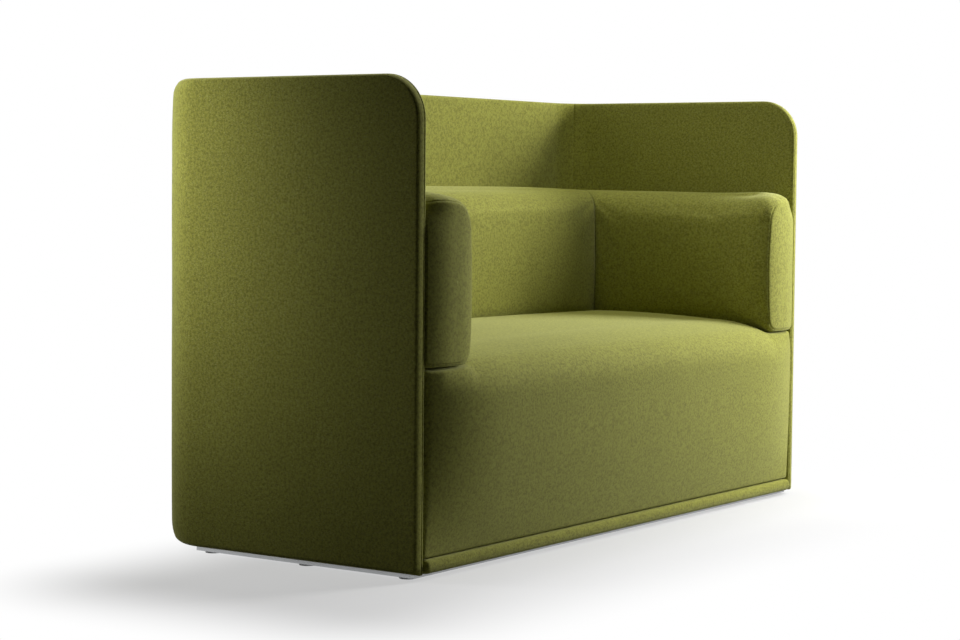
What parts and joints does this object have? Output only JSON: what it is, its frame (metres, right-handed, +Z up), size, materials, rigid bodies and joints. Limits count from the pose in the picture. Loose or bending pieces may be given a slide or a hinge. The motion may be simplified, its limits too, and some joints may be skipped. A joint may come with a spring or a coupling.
{
  "type": "high-back upholstered sofa",
  "caption": "High-back upholstered sofa: a padded screen wraps the back and sides round soft arm and back bolsters and one crowned seat block.",
  "frame": {"origin": "on the floor, under the middle of the sofa's outside box", "axes": "+Z up, +X along the sofa's width to the right of the person who looks at its open front, +Y from the open front to the back"},
  "size_m": [1.65, 0.769, 1.012],
  "materials": {
    "upholstery_cloth": "olive green melange wool weave",
    "foam": "open-cell foam",
    "plywood": "raw plywood",
    "base_paint": "grey paint",
    "glide_plastic": "black nylon",
    "zinc_steel": "zinc plated",
    "webbing": "woven elastic strap",
    "dust_cloth": "black non-woven cloth"
  },
  "bodies": {
    "root": {"back_bolster_board": "plywood", "back_bolster_cover": "upholstery_cloth", "back_bolster_foam": "foam", "base_front_bar": "base_paint", "base_left_bar": "base_paint", "base_rear_bar": "base_paint", "base_right_bar": "base_paint", "dust_sheet": "dust_cloth", "front_band_core": "plywood", "front_band_cover": "upholstery_cloth", "front_band_padding": "foam", "glide_screws": "zinc_steel", "glides": "glide_plastic", "joining_bolts": "zinc_steel", "joining_tee_nuts": "zinc_steel", "joining_washers": "zinc_steel", "left_arm_board": "plywood", "left_arm_cover": "upholstery_cloth", "left_arm_end_panel": "upholstery_cloth", "left_arm_foam": "foam", "rear_spacers": "plywood", "right_arm_board": "plywood", "right_arm_cover": "upholstery_cloth", "right_arm_end_panel": "upholstery_cloth", "right_arm_foam": "foam", "seat_centre_board": "plywood", "seat_corner_blocks": "plywood", "seat_cover": "upholstery_cloth", "seat_foam": "foam", "seat_front_board": "plywood", "seat_front_padding": "foam", "seat_left_board": "plywood", "seat_rear_board": "plywood", "seat_right_board": "plywood", "seat_webbing_crosswise": "webbing", "seat_webbing_lengthwise": "webbing", "shell_back_board": "plywood", "shell_back_inner_padding": "foam", "shell_back_outer_padding": "foam", "shell_inner_cover": "upholstery_cloth", "shell_left_board": "plywood", "shell_left_corner_board": "plywood", "shell_left_corner_inner_padding": "foam", "shell_left_corner_outer_padding": "foam", "shell_left_inner_padding": "foam", "shell_left_outer_padding": "foam", "shell_outer_cover": "upholstery_cloth", "shell_right_board": "plywood", "shell_right_corner_board": "plywood", "shell_right_corner_inner_padding": "foam", "shell_right_corner_outer_padding": "foam", "shell_right_inner_padding": "foam", "shell_right_outer_padding": "foam"}
  },
  "joints": []
}
